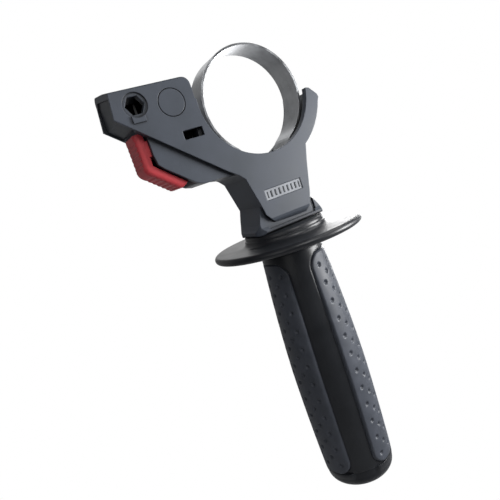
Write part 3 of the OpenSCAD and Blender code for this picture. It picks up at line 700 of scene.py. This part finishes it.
    def core_depth(self, angle: float, z: float) -> float:
        """Gives how deep the core or the cap lies under the grip's full skin.

        Args:
            angle: Degrees from the front groove's middle.
            z: Height.

        Returns:
            The depth, with the pads' beds, the grooves and the fine roll along each pad.
        """
        groove = self.groove_deep * smooth((self.groove_starts_z - z) / (self.groove_starts_z - self.groove_full_z))
        off_middle = abs((angle + 90) % 180 - 90)
        if z < self.pad_low_z:
            fade = smooth((z - self.groove_ends_z) / (self.pad_low_z - self.groove_ends_z))
            return groove * fade * smooth((self.groove_half + 6 - off_middle) / 9)
        inside, width = max((self.edge_distance((angle - pad.turn + 180) % 360 - 180, z), pad.edge_end)
                            for pad in self.pads)
        if inside > 0.25 * MM:
            return self.recess
        roll = max(0.0, 1 + min(0.0, inside) / width) * smooth((z - self.pad_low_z) / self.roll_fade)
        return groove + (self.sunk + 0.1 * MM - groove) * (1 - math.sqrt(max(0.0, 1 - roll * roll)))

    def sink(self, bm: bmesh.types.BMesh) -> None:
        """Sinks the outer skin of a turned mesh by the depth that it has at each place."""
        for vert in bm.verts:
            x, y, z = vert.co.x - GRIP_AXIS_X, vert.co.y, vert.co.z
            r = math.hypot(x, y)
            if z > self.under_z - self.fillet or r < self.wall or r < self.radius(z) - self.wall + 1 * MM - (
                    8 * MM if z < self.pad_low_z else 0):
                continue
            shrink = 1 - self.core_depth(math.degrees(math.atan2(y, x)) - self.turn, z) / r
            vert.co.x, vert.co.y = GRIP_AXIS_X + x * shrink, y * shrink

    def core(self) -> None:
        """Makes the core with its collar and flange, bored for the bolt and its insert."""
        rim = (self.flange_z - self.under_z) / 2
        profile = [(self.bore_r, self.collar_z), (self.collar_r - 1.1 * MM, self.collar_z),
                   (self.collar_r - 0.6 * MM, self.collar_z - 0.5 * MM),
                   (self.collar_r - 0.6 * MM, self.collar_z - 1.8 * MM), (self.collar_r, self.collar_z - 2.2 * MM),
                   (self.collar_r, self.collar_z - 3.4 * MM), (self.collar_r + 0.9 * MM, self.flange_z + 0.3 * MM),
                   (self.collar_r + 2 * MM, self.flange_z)]
        for i in range(13):
            angle = math.pi / 2 - math.pi * i / 12
            profile.append((self.flange_r - rim + rim * math.cos(angle), self.flange_z - rim + rim * math.sin(angle)))
        for i in range(9):
            angle = math.pi / 2 * i / 8
            profile.append((self.top_r + self.fillet * (1 - math.sin(angle)),
                            self.under_z - self.fillet * (1 - math.cos(angle))))
        rows = int((self.under_z - self.fillet - self.pad_low_z) / self.row)
        for i in range(1, rows + 1):
            z = self.under_z - self.fillet - (self.under_z - self.fillet - self.pad_low_z) * i / rows
            profile.append((self.radius(z), z))
        for i in range(13):
            z = self.pad_low_z + (self.hollow_top_z - self.pad_low_z) * i / 12
            profile.append((self.radius(z) - self.wall, z))
        profile += [(self.bore_r, self.hollow_top_z), (self.bore_r, self.seat_low_z), (self.seat_r, self.seat_low_z),
                    (self.seat_r, self.seat_top_z), (self.bore_r, self.seat_top_z)]
        bm = self.spun(profile)
        self.sink(bm)
        piece("moulded_core", bm, GRIP_PLASTIC, Body.GRIP, ("grip_core",), shade=50)

    def cap(self) -> None:
        """Makes the domed end cap, in which the two grooves run out."""
        spigot = self.radius(self.pad_low_z) - self.wall - 0.1 * MM
        dome = 5.5 * MM
        profile = [(0.0, self.pad_low_z + 3 * MM), (spigot, self.pad_low_z + 3 * MM),
                   (spigot, self.pad_low_z - self.seam), (self.low_r - 3 * MM, self.pad_low_z - self.seam),
                   (self.low_r - 0.15 * MM, self.pad_low_z - self.seam)]
        for i in range(1, 7):
            share = i / 6
            profile.append((self.low_r - 0.05 * MM - 0.45 * MM * share ** 2,
                            self.pad_low_z - self.seam - share * (self.pad_low_z - self.end_z - dome - self.seam)))
        for i in range(1, 15):
            angle = math.radians(80) * i / 14
            profile.append((self.low_r - 0.5 * MM - dome * (1 - math.cos(angle)),
                            self.end_z + dome * (1 - math.sin(angle))))
        profile.append((0.0, self.end_z - 0.6 * MM))
        bm = self.spun(profile)
        self.sink(bm)
        piece("domed_cap", bm, GRIP_PLASTIC, Body.GRIP, ("end_cap",), shade=50)

    def build(self) -> None:
        """Makes the core, the cap and the two pads, and dresses the insert."""
        dress("thread_insert", TURNED_BRASS)
        self.core()
        self.cap()
        for pad in self.pads:
            self.pad(pad)


@dataclass(frozen=True)
class Lamp:
    """A soft lamp that faces the object."""

    name: str
    place: tuple[float, float, float]
    size: float
    watts: float
    aim: tuple[float, float, float] = (-0.01, 0.0, -0.08)
    tint: str = "ffffff"

    def build(self) -> None:
        """Adds the lamp."""
        light = bpy.data.lights.new(self.name, "AREA")
        light.shape = "DISK"
        light.size = self.size
        light.energy = self.watts
        light.color = linear(self.tint)[:3]
        lamp = bpy.data.objects.new(self.name, light)
        lamp.location = self.place
        lamp.visible_camera = False
        lamp.rotation_euler = (Vector(self.aim) - Vector(self.place)).to_track_quat("-Z", "Y").to_euler()
        bpy.context.collection.objects.link(lamp)


@dataclass
class Studio:
    """The camera, the lamps, the pale floor and the white backdrops."""

    camera_place: tuple[float, float, float] = (-122.342 * MM, -209.950 * MM, -30.861 * MM)
    yaw: float = 25.235
    pitch: float = -8.734
    roll: float = 18.762
    focal_px: float = 489.199
    frame_px: float = 500.0
    sensor_mm: float = 36.0
    floor_z: float = -0.5
    backdrop_y: float = 0.9
    backdrop_z: float = 0.2
    backdrop_half_high: float = 0.75
    backdrops: tuple[tuple[str, float, float, float], ...] = (
        ("right_backdrop", 1.20, 0.75, 2.4), ("middle_backdrop", 0.275, 0.175, 1.0), ("left_backdrop", -0.65, 0.75, 0.3))
    lamps: list[Lamp] = field(default_factory=lambda: [
        Lamp("right_key", (0.228, -0.160, -0.065), 0.16, 1.2),
        Lamp("top_glint", (0.22, -0.07, 0.22), 0.22, 0.35),
        Lamp("back_fill", (0.48, 0.42, -0.05), 0.30, 2.5),
        Lamp("front_fill", (0.0, -0.52, 0.28), 0.30, 1.2),
        Lamp("left_fill", (-0.45, -0.38, 0.085), 0.30, 0.4),
    ])


    def build(self) -> None:
        """Sets up the view, the light and the background."""
        self.camera()
        for lamp in self.lamps:
            lamp.build()
        self.world()
        self.floor()
        for backdrop in self.backdrops:
            self.hang(*backdrop)
        bpy.context.scene.view_settings.view_transform = "Standard"

    def camera(self) -> None:
        """Places the camera as the photograph was taken."""
        yaw, pitch, roll = (math.radians(a) for a in (self.yaw, self.pitch, self.roll))
        ahead = Vector((math.sin(yaw) * math.cos(pitch), math.cos(yaw) * math.cos(pitch), math.sin(pitch)))
        level = Vector((math.cos(yaw), -math.sin(yaw), 0))
        down = ahead.cross(level)
        right = math.cos(roll) * level + math.sin(roll) * down
        lower = math.cos(roll) * down - math.sin(roll) * level
        lens = bpy.data.cameras.new("photo_camera")
        lens.sensor_width = self.sensor_mm
        lens.lens = self.focal_px / self.frame_px * self.sensor_mm
        lens.clip_start = 0.01
        camera = bpy.data.objects.new("photo_camera", lens)
        turn = Matrix((right, -lower, -ahead)).transposed().to_4x4()
        camera.matrix_world = Matrix.Translation(self.camera_place) @ turn
        bpy.context.collection.objects.link(camera)
        bpy.context.scene.camera = camera

    def white_seen(self, tree: bpy.types.NodeTree) -> bpy.types.NodeSocket:
        """Gives 1 where the camera looks straight at the background, or sees it through glass."""
        path = add(tree, "LightPath")
        seen = add(tree, "Math", {0: path.outputs["Is Camera Ray"], 1: path.outputs["Is Transmission Ray"]},
                   operation="MAXIMUM")
        return seen.outputs["Value"]

    def world(self) -> None:
        """Makes the room: white behind the object, and dim grey for its light."""
        world = bpy.data.worlds.new("studio_world")
        world.use_nodes = True
        tree = world.node_tree
        tree.nodes.clear()
        room = add(tree, "Background", {"Color": linear("a6a9ae"), "Strength": 0.11})
        white = add(tree, "Background", {"Color": linear("ffffff"), "Strength": 1.0})
        mixed = add(tree, "MixShader", {0: self.white_seen(tree), 1: room.outputs[0], 2: white.outputs[0]})
        add(tree, "OutputWorld", {"Surface": mixed.outputs[0]})
        bpy.context.scene.world = world

    def hang(self, name: str, middle_x: float, half_wide: float, strength: float) -> None:
        """Hangs one white backdrop behind the object, which the flange and the band reflect.

        Args:
            name: The backdrop's name.
            middle_x: Where its middle is, across the view.
            half_wide: Half its width.
            strength: How bright it is for the object. The camera sees it white.
        """
        bm = bmesh.new()
        place = (Matrix.Translation((middle_x, self.backdrop_y, self.backdrop_z))
                 @ Matrix.Rotation(math.radians(90), 4, "X")
                 @ Matrix.Diagonal((half_wide, self.backdrop_half_high, 1, 1)))
        bmesh.ops.create_grid(bm, x_segments=1, y_segments=1, size=1.0, matrix=place)
        paper = bpy.data.materials.new(f"{name}_paper")
        paper.use_nodes = True
        tree = paper.node_tree
        tree.nodes.clear()
        lit = add(tree, "Emission", {"Color": linear("ffffff"), "Strength": strength})
        self.finish_stage(name, bm, paper, lit)

    def finish_stage(self, name: str, bm: bmesh.types.BMesh, paint: bpy.types.Material,
                     shader: bpy.types.Node) -> None:
        """Turns a stage mesh into an object that the camera sees white and the object sees as its shader says."""
        tree = paint.node_tree
        white = add(tree, "Emission", {"Color": linear("ffffff"), "Strength": 1.0})
        mixed = add(tree, "MixShader", {0: self.white_seen(tree), 1: shader.outputs[0], 2: white.outputs[0]})
        add(tree, "OutputMaterial", {"Surface": mixed.outputs[0]})
        mesh = bpy.data.meshes.new(name)
        bm.to_mesh(mesh)
        bm.free()
        mesh.materials.append(paint)
        made = bpy.data.objects.new(name, mesh)
        bpy.context.collection.objects.link(made)

    def floor(self) -> None:
        """Lays the pale floor under the object."""
        bm = bmesh.new()
        bmesh.ops.create_grid(bm, x_segments=1, y_segments=1, size=3.0, matrix=Matrix.Translation((0, 0, self.floor_z)))
        paint = bpy.data.materials.new("pale_floor")
        paint.use_nodes = True
        tree = paint.node_tree
        tree.nodes.clear()
        self.finish_stage("floor", bm, paint, add(tree, "BsdfDiffuse", {"Color": linear("c4c5c7")}))


def main() -> None:
    """Builds the studio and then each sub-assembly."""
    logging.basicConfig(level=logging.INFO, format="%(message)s")
    for part in (Studio(), Bracket(), ClampBand(), ReleaseButton(), Grip()):
        part.build()


if __name__ == "__main__":
    main()
